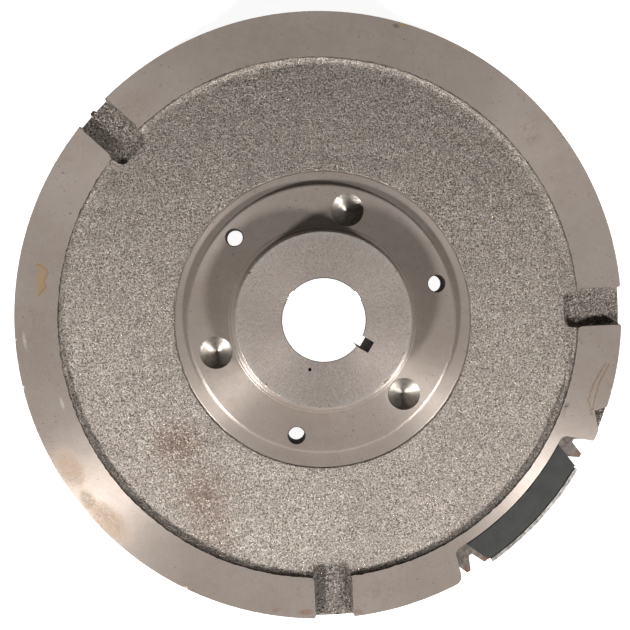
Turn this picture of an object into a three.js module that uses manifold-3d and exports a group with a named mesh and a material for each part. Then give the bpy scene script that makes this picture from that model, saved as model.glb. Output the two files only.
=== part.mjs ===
// Cast-iron flywheel of a small engine, lying on its rear face with the fan side up.
// Millimetres, +Z up along the crankshaft axis, origin on the axis at the rear face.
import * as THREE from 'three';
import { mergeVertices } from 'three/addons/utils/BufferGeometryUtils.js';
import Module from 'manifold-3d';

const wasm = await Module();
wasm.setup();

// ---- driving dimensions -------------------------------------------------------------------
const GAP = 0.3; // clearance between pieces that touch
const TURN_SEGMENTS = 90; // facets around every large turned surface

// heights
const RIM_FRONT_Z = 34;
const BOSS_Z = RIM_FRONT_Z + 8.9;
const DISC_Z = RIM_FRONT_Z - 0.1;
const BAND_Z = DISC_Z - 2.2;
const WEB_Z = RIM_FRONT_Z - 1.8;
const NOTCH_FLOOR_Z = RIM_FRONT_Z - 4;
const FLANGE_BACK_Z = DISC_Z - 8.5;
const WEB_BACK_Z = 21.5;
const HUB_REAR_Z = 1.5;
const GEAR_SHOULDER_Z = 15;
const POCKET_FLOOR_Z = 14.8;
const RETAINER_SEAT_Z = 5;

// radii
const RIM_R = 120;
const RIM_INNER_R = 102.9;
const WEB_OUTER_R = 100.4;
const GEAR_SEAT_R = 113.5;
const ROTOR_BORE_R = 94.3;
const RETAINER_BORE_R = 104;
const HUB_CORE_R = 28;
const BAND_R = 59.6;
const DISC_R = 52.6;
const BOSS_ROOT_R = 36.7;
const BOSS_R = 33.8;
const BORE_FRONT_R = 15.9; // small end of the crankshaft taper
const TAPER = 1 / 16; // radius gained per mm of depth: 1 in 8 on diameter

// hub holes
const KEYWAY_WIDTH = 4.76;
const KEYWAY_FLOOR_R = 20.1;
const KEYWAY_DEG = 330.4;
const FAN_HOLE = { count: 3, firstDeg: 17.4, circleR: 47.2, r: 3.25 };
const DRILL_SPOT = { count: 3, firstDeg: 77.4, circleR: 44, r: 6.05, lip: 0.8, pointDeg: 118 };

// rim slots and magnet pocket
const NOTCH_DEGS = [2.6, 138.2, 272.4];
const NOTCH = { width: 15, innerR: 98, cornerR: 2.5 };
const POCKET = { fromDeg: 299.4, toDeg: 334.6, flareDeg: 2.2, innerR: 107.2, cornerR: 3 };

// starter ring gear
const GEAR = { teeth: 91, module: 2.72, width: 12, phaseDeg: 3.67 };
const TOOTH_TIP_HALF_DEG = 0.45;
const TOOTH_ROOT_HALF_DEG = 1.57;

// ignition magnet, its pole shoe and their two screws
const MAGNET = { centreDeg: 317.3, innerHalfDeg: 14.7, outerHalfDeg: 12.6, outerR: 118 };
const SHOE = { halfDeg: 12.2, outerR: 119.9, thickness: 1.6 };
const MAGNET_BOTTOM_Z = GEAR_SHOULDER_Z + GAP;
const MAGNET_TOP_Z = RIM_FRONT_Z - 0.6;
const SHOE_SCREW = { offsetDeg: 8, z: 24.3, headR: 3.3, shankR: 1.9, tipR: 99.4 };

// charging-coil rotor magnets and their retainer
const ROTOR_MAGNET = { count: 12, innerR: 86, spanDeg: 27 };
const RETAINER = { innerR: 85, thickness: 1.5, screwCircleR: 99.2 };
const RETAINER_SCREW = { count: 6, firstDeg: 30, headR: 3.7, headHeight: 2, shankR: 2, tipZ: 13.5 };

// ---- materials ----------------------------------------------------------------------------
const castIron = new THREE.MeshStandardMaterial({ color: 0x8f867c, roughness: 0.55, metalness: 0.9 });
const gearSteel = new THREE.MeshStandardMaterial({ color: 0x7a6f66, roughness: 0.5, metalness: 0.95 });
const ferrite = new THREE.MeshStandardMaterial({ color: 0x4a4d46, roughness: 0.7, metalness: 0.1 });
const sheetSteel = new THREE.MeshStandardMaterial({ color: 0xb9b4aa, roughness: 0.35, metalness: 0.95 });
const zincScrew = new THREE.MeshStandardMaterial({ color: 0xa9a9a4, roughness: 0.4, metalness: 0.95 });

// ---- helpers ------------------------------------------------------------------------------
const rad = THREE.MathUtils.degToRad;

function polar(r, deg) {
  return new THREE.Vector2(r * Math.cos(rad(deg)), r * Math.sin(rad(deg)));
}

function solid(geometry) {
  const bare = geometry.clone();
  bare.deleteAttribute('normal');
  bare.deleteAttribute('uv');
  const welded = mergeVertices(bare, 1e-5);
  return new wasm.Manifold(new wasm.Mesh({
    numProp: 3,
    vertProperties: new Float32Array(welded.attributes.position.array),
    triVerts: new Uint32Array(welded.index.array),
  }));
}

function meshOf(name, body, material) {
  const { vertProperties, triVerts } = body.getMesh();
  const geometry = new THREE.BufferGeometry();
  geometry.setAttribute('position', new THREE.BufferAttribute(vertProperties, 3));
  geometry.setIndex(new THREE.BufferAttribute(triVerts, 1));
  geometry.computeVertexNormals();
  const mesh = new THREE.Mesh(geometry, material);
  mesh.name = name;
  return mesh;
}

// A solid of revolution about Z from [radius, height] corners listed anticlockwise.
function turned(corners, segments) {
  const profile = corners.map(([r, z]) => new THREE.Vector2(r, z));
  profile.push(profile[0].clone());
  return solid(new THREE.LatheGeometry(profile, segments).rotateX(Math.PI / 2));
}

// An outline in the XY plane raised from one height to another.
function raised(shape, fromZ, toZ, curveSegments = 6) {
  const options = { depth: toZ - fromZ, bevelEnabled: false, curveSegments };
  return solid(new THREE.ExtrudeGeometry(shape, options).translate(0, 0, fromZ));
}

function drill(r, fromZ, toZ, centre, segments = 20) {
  const geometry = new THREE.CylinderGeometry(r, r, toZ - fromZ, segments);
  geometry.rotateX(Math.PI / 2).translate(centre.x, centre.y, (fromZ + toZ) / 2);
  return solid(geometry);
}

function arcPoints(r, fromDeg, toDeg, steps) {
  return Array.from({ length: steps + 1 }, (_, i) => polar(r, fromDeg + ((toDeg - fromDeg) * i) / steps));
}

// A curved block between two radii; its ends may lean, so each face has its own half angle.
function arcBlock(innerR, innerHalfDeg, outerR, outerHalfDeg, centreDeg, steps) {
  return new THREE.Shape([
    ...arcPoints(outerR, centreDeg - outerHalfDeg, centreDeg + outerHalfDeg, steps),
    ...arcPoints(innerR, centreDeg + innerHalfDeg, centreDeg - innerHalfDeg, steps),
  ]);
}

// Moves a solid made along +X at height zero out to an angle and a height.
function aimed(body, deg, z) {
  return body.rotate([0, 0, deg]).translate([0, 0, z]);
}

// A solid of revolution whose axis is +X, from [radius, distance along X] corners.
function turnedAlongX(corners, segments) {
  return turned(corners, segments).rotate([0, 90, 0]);
}

// ---- casting ------------------------------------------------------------------------------
const boreRAt = (z) => BORE_FRONT_R + (BOSS_Z - z) * TAPER;

const castingProfile = [
  [boreRAt(HUB_REAR_Z) + 0.7, HUB_REAR_Z],
  [HUB_CORE_R - 1, HUB_REAR_Z],
  [HUB_CORE_R, HUB_REAR_Z + 1],
  [HUB_CORE_R, FLANGE_BACK_Z - 3],
  [HUB_CORE_R + 1, FLANGE_BACK_Z - 0.9],
  [HUB_CORE_R + 3, FLANGE_BACK_Z],
  [DISC_R - 1, FLANGE_BACK_Z],
  [DISC_R + 4, WEB_BACK_Z],
  [ROTOR_BORE_R, WEB_BACK_Z],
  [ROTOR_BORE_R, RETAINER_SEAT_Z],
  [RETAINER_BORE_R, RETAINER_SEAT_Z],
  [RETAINER_BORE_R, 0],
  [GEAR_SEAT_R - 0.8, 0],
  [GEAR_SEAT_R, 0.8],
  [GEAR_SEAT_R, GEAR_SHOULDER_Z],
  [RIM_R, GEAR_SHOULDER_Z],
  [RIM_R, RIM_FRONT_Z - 0.4],
  [RIM_R - 0.4, RIM_FRONT_Z],
  [RIM_INNER_R, RIM_FRONT_Z],
  [RIM_INNER_R - 1.5, RIM_FRONT_Z - 1.8],
  [RIM_INNER_R - 2.9, RIM_FRONT_Z - 2.8],
  [WEB_OUTER_R, WEB_Z],
  [BAND_R + 0.3, WEB_Z],
  [BAND_R, BAND_Z],
  [DISC_R, BAND_Z],
  [DISC_R, DISC_Z - 0.4],
  [DISC_R - 0.4, DISC_Z],
  [BOSS_ROOT_R, DISC_Z],
  [BOSS_ROOT_R - 2.1, DISC_Z + 1.1],
  [BOSS_R + 0.1, DISC_Z + 3],
  [BOSS_R, BOSS_Z - 0.5],
  [BOSS_R - 0.5, BOSS_Z],
  [BORE_FRONT_R + 0.4, BOSS_Z],
  [boreRAt(BOSS_Z - 0.4), BOSS_Z - 0.4],
  [boreRAt(HUB_REAR_Z + 0.7), HUB_REAR_Z + 0.7],
];

const ABOVE = BOSS_Z + 5; // cutters start clear of the front
const BELOW = -5; // and end clear of the back

function notchCutter(deg) {
  const half = NOTCH.width / 2;
  const { innerR, cornerR } = NOTCH;
  const outline = new THREE.Shape();
  outline.moveTo(RIM_R + 5, -half);
  outline.lineTo(RIM_R + 5, half);
  outline.lineTo(innerR + cornerR, half);
  outline.absarc(innerR + cornerR, half - cornerR, cornerR, Math.PI / 2, Math.PI, false);
  outline.absarc(innerR + cornerR, cornerR - half, cornerR, Math.PI, 1.5 * Math.PI, false);
  outline.closePath();
  return aimed(raised(outline, NOTCH_FLOOR_Z, ABOVE, 4), deg, 0);
}

// The magnet's bay: its end walls flare outward and its inner corners are rounded.
function pocketCutter() {
  const { fromDeg, toDeg, flareDeg, innerR, cornerR } = POCKET;
  const cornerDeg = THREE.MathUtils.radToDeg(cornerR / innerR);
  const outline = new THREE.Shape([
    ...arcPoints(RIM_R + 8, fromDeg - flareDeg, toDeg + flareDeg, 6),
    polar(innerR + cornerR, toDeg),
    polar(innerR + 0.3 * cornerR, toDeg - 0.3 * cornerDeg),
    ...arcPoints(innerR, toDeg - cornerDeg, fromDeg + cornerDeg, 10),
    polar(innerR + 0.3 * cornerR, fromDeg + 0.3 * cornerDeg),
    polar(innerR + cornerR, fromDeg),
  ]);
  return raised(outline, POCKET_FLOOR_Z, ABOVE);
}

function drillSpotCutter(deg) {
  const { r, lip, pointDeg, circleR } = DRILL_SPOT;
  const coneDepth = r / Math.tan(rad(pointDeg / 2));
  const cutter = turned([
    [0, DISC_Z - lip - coneDepth],
    [r, DISC_Z - lip],
    [r, ABOVE],
    [0, ABOVE],
  ], 24);
  return aimed(cutter.translate([circleR, 0, 0]), deg, 0);
}

function keywayCutter() {
  const geometry = new THREE.BoxGeometry(KEYWAY_FLOOR_R, KEYWAY_WIDTH, ABOVE - BELOW);
  geometry.translate(KEYWAY_FLOOR_R / 2, 0, (ABOVE + BELOW) / 2);
  return aimed(solid(geometry), KEYWAY_DEG, 0);
}

const shoeScrewDegs = [-1, 1].map((side) => MAGNET.centreDeg + side * SHOE_SCREW.offsetDeg);
const ring = (set) => Array.from({ length: set.count }, (_, i) => set.firstDeg + (i * 360) / set.count);

function makeCasting() {
  const shoeScrewHole = turnedAlongX([
    [0, SHOE_SCREW.tipR - 0.7],
    [SHOE_SCREW.shankR + GAP, SHOE_SCREW.tipR - 0.7],
    [SHOE_SCREW.shankR + GAP, RIM_R],
    [0, RIM_R],
  ], 14);
  const cutters = [
    ...NOTCH_DEGS.map(notchCutter),
    pocketCutter(),
    keywayCutter(),
    ...ring(FAN_HOLE).map((deg) => drill(FAN_HOLE.r, BELOW, ABOVE, polar(FAN_HOLE.circleR, deg))),
    ...ring(DRILL_SPOT).map(drillSpotCutter),
    ...shoeScrewDegs.map((deg) => aimed(shoeScrewHole, deg, SHOE_SCREW.z)),
    ...ring(RETAINER_SCREW).map((deg) => {
      const centre = polar(RETAINER.screwCircleR, deg);
      return drill(RETAINER_SCREW.shankR + GAP, BELOW, RETAINER_SCREW.tipZ + 0.7, centre, 14);
    }),
  ];
  return cutters.reduce((body, cutter) => body.subtract(cutter), turned(castingProfile, TURN_SEGMENTS));
}

// ---- starter ring gear --------------------------------------------------------------------
function makeRingGear() {
  const tipR = (GEAR.module * (GEAR.teeth + 2)) / 2;
  const rootR = (GEAR.module * (GEAR.teeth - 2.5)) / 2;
  const outline = new THREE.Shape();
  for (let i = 0; i < GEAR.teeth; i += 1) {
    const deg = GEAR.phaseDeg + (i * 360) / GEAR.teeth;
    const corners = [
      polar(rootR, deg - TOOTH_ROOT_HALF_DEG),
      polar(tipR, deg - TOOTH_TIP_HALF_DEG),
      polar(tipR, deg + TOOTH_TIP_HALF_DEG),
      polar(rootR, deg + TOOTH_ROOT_HALF_DEG),
    ];
    corners.forEach(({ x, y }, j) => (i + j === 0 ? outline.moveTo(x, y) : outline.lineTo(x, y)));
  }
  outline.holes.push(new THREE.Path(arcPoints(GEAR_SEAT_R + GAP, 360, 4, TURN_SEGMENTS - 1)));
  const frontZ = GEAR_SHOULDER_Z - GAP;
  return raised(outline, frontZ - GEAR.width, frontZ);
}

// ---- ignition magnet, pole shoe and screws ------------------------------------------------
const shoeInnerR = SHOE.outerR - SHOE.thickness;

function radialHole(r) {
  return turnedAlongX([[0, RIM_R / 2], [r, RIM_R / 2], [r, RIM_R + 5], [0, RIM_R + 5]], 14);
}

function cutAtShoeScrews(body, cutter) {
  return shoeScrewDegs.reduce((left, deg) => left.subtract(aimed(cutter, deg, SHOE_SCREW.z)), body);
}

function makeIgnitionMagnet() {
  const { centreDeg, innerHalfDeg, outerHalfDeg, outerR } = MAGNET;
  const outline = arcBlock(POCKET.innerR + GAP, innerHalfDeg, outerR, outerHalfDeg, centreDeg, 8);
  const block = raised(outline, MAGNET_BOTTOM_Z, MAGNET_TOP_Z);
  return cutAtShoeScrews(block, radialHole(SHOE_SCREW.shankR + GAP));
}

function makePoleShoe() {
  const { halfDeg, outerR } = SHOE;
  const outline = arcBlock(shoeInnerR, halfDeg, outerR, halfDeg, MAGNET.centreDeg, 8);
  const plate = raised(outline, MAGNET_BOTTOM_Z, MAGNET_TOP_Z);
  const sinkR = SHOE_SCREW.headR + GAP;
  const countersink = turnedAlongX([
    [0, RIM_R / 2],
    [SHOE_SCREW.shankR + GAP, RIM_R / 2],
    [SHOE_SCREW.shankR + GAP, outerR - (SHOE_SCREW.headR - SHOE_SCREW.shankR)],
    [sinkR, outerR],
    [sinkR, outerR + 5],
    [0, outerR + 5],
  ], 16);
  return cutAtShoeScrews(plate, countersink);
}

function makeShoeScrew(deg) {
  const { headR, shankR, tipR, z } = SHOE_SCREW;
  const headTop = SHOE.outerR - 0.1;
  const screw = turnedAlongX([
    [0, tipR],
    [shankR - 0.6, tipR],
    [shankR, tipR + 0.8],
    [shankR, headTop - (headR - shankR)],
    [headR, headTop],
    [0, headTop],
  ], 16);
  const slot = solid(new THREE.BoxGeometry(2, 2 * headR + 1, 0.9).translate(headTop + 0.2, 0, 0));
  return aimed(screw.subtract(slot), deg, z);
}

// ---- charging rotor: magnets, retainer and screws -----------------------------------------
function makeRotorMagnet(deg) {
  const outline = arcBlock(
    ROTOR_MAGNET.innerR,
    ROTOR_MAGNET.spanDeg / 2,
    ROTOR_BORE_R - GAP,
    ROTOR_MAGNET.spanDeg / 2,
    deg,
    6,
  );
  return raised(outline, RETAINER_SEAT_Z, WEB_BACK_Z - GAP);
}

const retainerTopZ = RETAINER_SEAT_Z - GAP;
const retainerBottomZ = retainerTopZ - RETAINER.thickness;

function makeRetainer() {
  const outline = new THREE.Shape(arcPoints(RETAINER_BORE_R - GAP, 4, 360, TURN_SEGMENTS - 1));
  outline.holes.push(new THREE.Path(arcPoints(RETAINER.innerR, 360, 4, TURN_SEGMENTS - 1)));
  const plate = raised(outline, retainerBottomZ, retainerTopZ);
  return ring(RETAINER_SCREW).reduce((body, deg) => {
    const centre = polar(RETAINER.screwCircleR, deg);
    return body.subtract(drill(RETAINER_SCREW.shankR + GAP, BELOW, RETAINER_SEAT_Z + 1, centre, 14));
  }, plate);
}

function makeRetainerScrew(deg) {
  const { headR, headHeight, shankR, tipZ } = RETAINER_SCREW;
  const headTopZ = retainerBottomZ - GAP;
  const screw = turned([
    [0, headTopZ - headHeight],
    [headR - 0.8, headTopZ - headHeight],
    [headR, headTopZ - headHeight + 0.7],
    [headR, headTopZ],
    [shankR, headTopZ],
    [shankR, tipZ - 0.8],
    [shankR - 0.6, tipZ],
    [0, tipZ],
  ], 16);
  const slot = new THREE.BoxGeometry(2 * headR + 1, 1, 2).translate(0, 0, headTopZ - headHeight);
  const centre = polar(RETAINER.screwCircleR, deg);
  return screw.subtract(solid(slot)).rotate([0, 0, deg]).translate([centre.x, centre.y, 0]);
}

// ---- assembly -----------------------------------------------------------------------------
const group = new THREE.Group();
group.add(meshOf('flywheel_casting', makeCasting(), castIron));
group.add(meshOf('starter_ring_gear', makeRingGear(), gearSteel));
group.add(meshOf('ignition_magnet', makeIgnitionMagnet(), ferrite));
group.add(meshOf('magnet_pole_shoe', makePoleShoe(), sheetSteel));
shoeScrewDegs.forEach((deg, i) => {
  group.add(meshOf(`pole_shoe_screw_${i + 1}`, makeShoeScrew(deg), zincScrew));
});
for (let i = 0; i < ROTOR_MAGNET.count; i += 1) {
  const name = `rotor_magnet_${String(i + 1).padStart(2, '0')}`;
  group.add(meshOf(name, makeRotorMagnet((i * 360) / ROTOR_MAGNET.count), ferrite));
}
group.add(meshOf('magnet_retainer_ring', makeRetainer(), sheetSteel));
ring(RETAINER_SCREW).forEach((deg, i) => {
  group.add(meshOf(`retainer_screw_${i + 1}`, makeRetainerScrew(deg), zincScrew));
});

export default group;
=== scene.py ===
"""Small-engine flywheel seen from its fan side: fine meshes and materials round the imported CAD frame."""
import math

import bmesh
import bpy
import numpy as np
from mathutils import Matrix, Vector, noise


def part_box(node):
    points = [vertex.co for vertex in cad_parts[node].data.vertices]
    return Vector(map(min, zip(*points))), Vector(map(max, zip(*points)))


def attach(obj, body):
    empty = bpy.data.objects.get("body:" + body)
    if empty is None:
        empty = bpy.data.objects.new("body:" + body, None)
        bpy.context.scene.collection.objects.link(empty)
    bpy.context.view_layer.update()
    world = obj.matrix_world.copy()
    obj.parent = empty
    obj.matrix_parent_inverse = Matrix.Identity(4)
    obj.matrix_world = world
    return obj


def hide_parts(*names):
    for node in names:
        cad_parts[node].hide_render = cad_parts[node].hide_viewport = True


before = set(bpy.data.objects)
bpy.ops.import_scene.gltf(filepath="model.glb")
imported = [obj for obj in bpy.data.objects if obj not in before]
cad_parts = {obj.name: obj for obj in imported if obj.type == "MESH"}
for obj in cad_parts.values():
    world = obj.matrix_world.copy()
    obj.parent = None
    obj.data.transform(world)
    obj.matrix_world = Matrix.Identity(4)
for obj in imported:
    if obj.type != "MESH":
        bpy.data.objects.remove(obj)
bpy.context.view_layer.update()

MM = 0.001
TAU = 2 * math.pi
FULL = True
SEGMENTS = 720 if FULL else 360  # facets round the large turned surfaces

# ---- sizes in millimetres, read from the frame where its boxes show them ------------------


def box_mm(node):
    low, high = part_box(node)
    return low / MM, high / MM


cast_low, cast_high = box_mm("flywheel_casting")
gear_low, gear_high = box_mm("starter_ring_gear")
magnet_low, magnet_high = box_mm("ignition_magnet")
shoe_low, shoe_high = box_mm("magnet_pole_shoe")
retainer_low, retainer_high = box_mm("magnet_retainer_ring")
rotor_low, rotor_high = box_mm("rotor_magnet_01")
retainer_screw_low, retainer_screw_high = box_mm("retainer_screw_1")

BOSS_Z = cast_high.z
RIM_Z = BOSS_Z - 8.9
DISC_Z = RIM_Z - 0.1
BAND_Z = DISC_Z - 2.2
WEB_Z = RIM_Z - 1.8
NOTCH_Z = RIM_Z - 3.6
FLANGE_BACK_Z = DISC_Z - 8.5
WEB_BACK_Z = 21.5
HUB_REAR_Z = 1.5
SHOULDER_Z = gear_high.z + 0.3
POCKET_Z = SHOULDER_Z - 0.2
RETAINER_SEAT_Z = retainer_high.z + 0.3

RIM_R = (cast_high.y - cast_low.y) / 2
RIM_INNER_R = 102.9
GEAR_SEAT_R = 113.5
ROTOR_BORE_R = 94.3
RETAINER_BORE_R = 104.0
HUB_CORE_R = 28.0
BAND_R = 59.0
DISC_R = 52.6
BOSS_ROOT_R = 36.7
BOSS_R = 33.8
BORE_R = 15.9
TAPER = 1 / 16
CORE_SHIFT = Vector((-0.45, -0.5))  # the rim's cast inner wall sits a little off the turned axis
BAND_SHIFT = Vector((0.5, -0.42))  # so does the edge of the skin round the disc

KEYWAY_DEG, KEYWAY_W, KEYWAY_R = 329.7, 4.7, 20.9
FAN_HOLE_DEGS = [17.4 + 120 * k for k in range(3)]
FAN_HOLE_CIRCLE, FAN_HOLE_R = 47.2, 3.25
SPOT_DEGS = [77.4 + 120 * k for k in range(3)]
SPOT_CIRCLE, SPOT_R, SPOT_LIP, SPOT_POINT_DEG = 44.0, 6.05, 0.8, 118
NOTCH_DEGS = [2.6, 138.2, 272.4]
NOTCH_W, NOTCH_INNER_R = 15.0, 98.0
POCKET_FROM, POCKET_TO, POCKET_R = 299.4, 334.6, 107.2
POCKET_FLARE = 0.125  # degrees per mm of radius
MAGNET_DEG = 317.3
SHOE_SCREW_DEGS = [MAGNET_DEG - 8, MAGNET_DEG + 8]
SHOE_SCREW_Z = 24.3
RETAINER_SCREW_DEGS = [30 + 60 * k for k in range(6)]
RETAINER_SCREW_CIRCLE = 99.2
RETAINER_HOLE_R, RETAINER_HOLE_TOP_Z = 2.3, 14.2
SHOE_HOLE_R = 2.2
SHOE_R = 119.9  # the pole shoe's outer face
ROTOR_MAGNETS = 12
NICKS = [  # degrees, radius, height, size, depth
    (313.0, 34.0, BOSS_Z, 0.9, 0.5),
    (316.0, 33.9, BOSS_Z, 1.1, 0.6),
    (319.0, 34.1, BOSS_Z, 0.8, 0.45),
    (147.0, 34.0, BOSS_Z, 0.9, 0.5),
    (203.0, 34.2, BOSS_Z, 0.6, 0.3),
    (238.0, 34.2, BOSS_Z, 0.6, 0.35),
    (283.0, 34.2, BOSS_Z, 0.7, 0.3),
    (61.0, 34.2, BOSS_Z, 0.6, 0.3),
    (184.0, 120.2, RIM_Z, 1.0, 0.5),
    (188.5, 120.3, RIM_Z, 0.8, 0.5),
    (193.0, 120.2, RIM_Z, 1.1, 0.6),
    (207.5, 120.3, RIM_Z, 0.8, 0.5),
    (243.0, 120.2, RIM_Z, 1.2, 0.6),
    (258.0, 120.3, RIM_Z, 0.8, 0.4),
    (346.0, 120.3, RIM_Z, 1.0, 0.5),
    (74.0, 120.3, RIM_Z, 0.7, 0.4),
    (112.0, 120.3, RIM_Z, 0.8, 0.4),
]
TEETH, MODULE, GEAR_PHASE = 91, 2.72, 3.67

# ---- small helpers ------------------------------------------------------------------------


def polar(r, deg):
    return r * math.cos(math.radians(deg)), r * math.sin(math.radians(deg))


def smoothstep(low, high, x):
    t = np.clip((x - low) / (high - low), 0.0, 1.0)
    return t * t * (3 - 2 * t)


def ring_noise(angle, radius, seed, detail=3):
    """Smooth noise round a circle, about -1 to 1; features are about a millimetre for radius in mm."""
    point = Vector((radius * math.cos(angle), radius * math.sin(angle), seed * 7.3))
    return noise.fractal(point, 1.0, 2.0, detail)


def mesh_object(name, vertices_mm, faces, materials, face_slots=None):
    mesh = bpy.data.meshes.new(name)
    mesh.from_pydata([tuple(c * MM for c in v) for v in vertices_mm], [], faces)
    for material in materials:
        mesh.materials.append(material)
    if face_slots is not None:
        mesh.polygons.foreach_set("material_index", face_slots)
    mesh.update()
    obj = bpy.data.objects.new(name, mesh)
    bpy.context.scene.collection.objects.link(obj)
    return obj


def finish_shading(obj, sharp_deg=32):
    mesh = obj.data
    mesh.polygons.foreach_set("use_smooth", [True] * len(mesh.polygons))
    mesh.set_sharp_from_angle(angle=math.radians(sharp_deg))
    mesh.update()
    weighted = obj.modifiers.new("weighted_normals", "WEIGHTED_NORMAL")
    weighted.keep_sharp = True
    weighted.weight = 80


def publish(obj, slot, *nodes):
    finish_shading(obj)
    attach(obj, "root")
    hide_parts(*nodes)
    return obj


def rounded_profile(corners, steps=4):
    """Corners are (x, y, fillet, zone, wobble). Returns (x, y, wobble) points and each stretch's zone."""
    points, zones = [], []
    count = len(corners)
    for i, (x, y, fillet, zone, wobble) in enumerate(corners):
        here = Vector((x, y))
        if fillet <= 0:
            points.append((x, y, wobble))
            zones.append(zone)
            continue
        before = (Vector(corners[i - 1][:2]) - here).normalized()
        after = (Vector(corners[(i + 1) % count][:2]) - here).normalized()
        half = before.angle(after) / 2
        tangent = fillet / math.tan(half)
        centre = here + (before + after).normalized() * (fillet / math.sin(half))
        from_arm = (here + before * tangent - centre).normalized()
        to_arm = (here + after * tangent - centre).normalized()
        for k in range(steps + 1):
            p = centre + from_arm.slerp(to_arm, k / steps) * fillet
            points.append((p.x, p.y, wobble))
            zones.append(zone)
    return points, zones


def refined(points, zones, longest):
    """Splits each stretch into steps no longer than its zone's limit."""
    new_points, new_zones = [], []
    for i, (x, y, wobble) in enumerate(points):
        nx, ny, _ = points[(i + 1) % len(points)]
        limit = longest.get(zones[i], 1e9)
        steps = max(1, math.ceil(math.hypot(nx - x, ny - y) / limit))
        for k in range(steps):
            t = k / steps
            new_points.append((x + (nx - x) * t, y + (ny - y) * t, wobble if k == 0 else 0.0))
            new_zones.append(zones[i])
    return new_points, new_zones


def ring_quads(rows, count, closed):
    """Faces joining rows of count points; closed joins the last row to the first."""
    faces = []
    for row in range(rows if closed else rows - 1):
        up = (row + 1) % rows
        for i in range(count):
            k = (i + 1) % count
            faces.append((row * count + i, row * count + k, up * count + k, up * count + i))
    return faces


def revolved(name, points, zones, materials, segments, wobble_scale=0.95):
    """A closed turned mesh; wobbling rings get a ragged radius."""
    angles = [TAU * i / segments for i in range(segments)]
    vertices = []
    for j, (r, z, wobble) in enumerate(points):
        for a in angles:
            rr = r + (wobble * ring_noise(a, r * wobble_scale, j) if wobble else 0.0)
            vertices.append((rr * math.cos(a), rr * math.sin(a), z))
    slots = [zone for zone in zones for _ in angles]
    return mesh_object(name, vertices, ring_quads(len(points), segments, True), materials, slots)


def loft(name, sections, materials, slot=0):
    """A closed solid through rings of as many points, the lowest first, each anticlockwise from above."""
    count = len(sections[0])
    vertices = [p for ring in sections for p in ring]
    faces = ring_quads(len(sections), count, False)
    top = (len(sections) - 1) * count
    faces.append(tuple(reversed(range(count))))
    faces.append(tuple(range(top, top + count)))
    return mesh_object(name, vertices, faces, materials, [slot] * len(faces))


def spindle(name, stations, centre, materials, slot=0, segments=64):
    """A closed round solid along Z from (radius, z) stations."""
    cx, cy = centre
    angles = [TAU * i / segments for i in range(segments)]
    sections = [[(cx + r * math.cos(a), cy + r * math.sin(a), z) for a in angles] for r, z in stations]
    return loft(name, sections, materials, slot)


def cut(target, cutter):
    """Cuts the cutter out of the target, and removes the cutter."""
    modifier = target.modifiers.new("boolean", "BOOLEAN")
    modifier.operation = "DIFFERENCE"
    modifier.solver = "MANIFOLD"
    modifier.object = cutter
    depsgraph = bpy.context.evaluated_depsgraph_get()
    mesh = bpy.data.meshes.new_from_object(target.evaluated_get(depsgraph))
    target.modifiers.clear()
    old, target.data = target.data, mesh
    mesh.name = target.name
    bpy.data.meshes.remove(old)
    bpy.data.objects.remove(cutter)


# ---- materials ----------------------------------------------------------------------------


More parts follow.
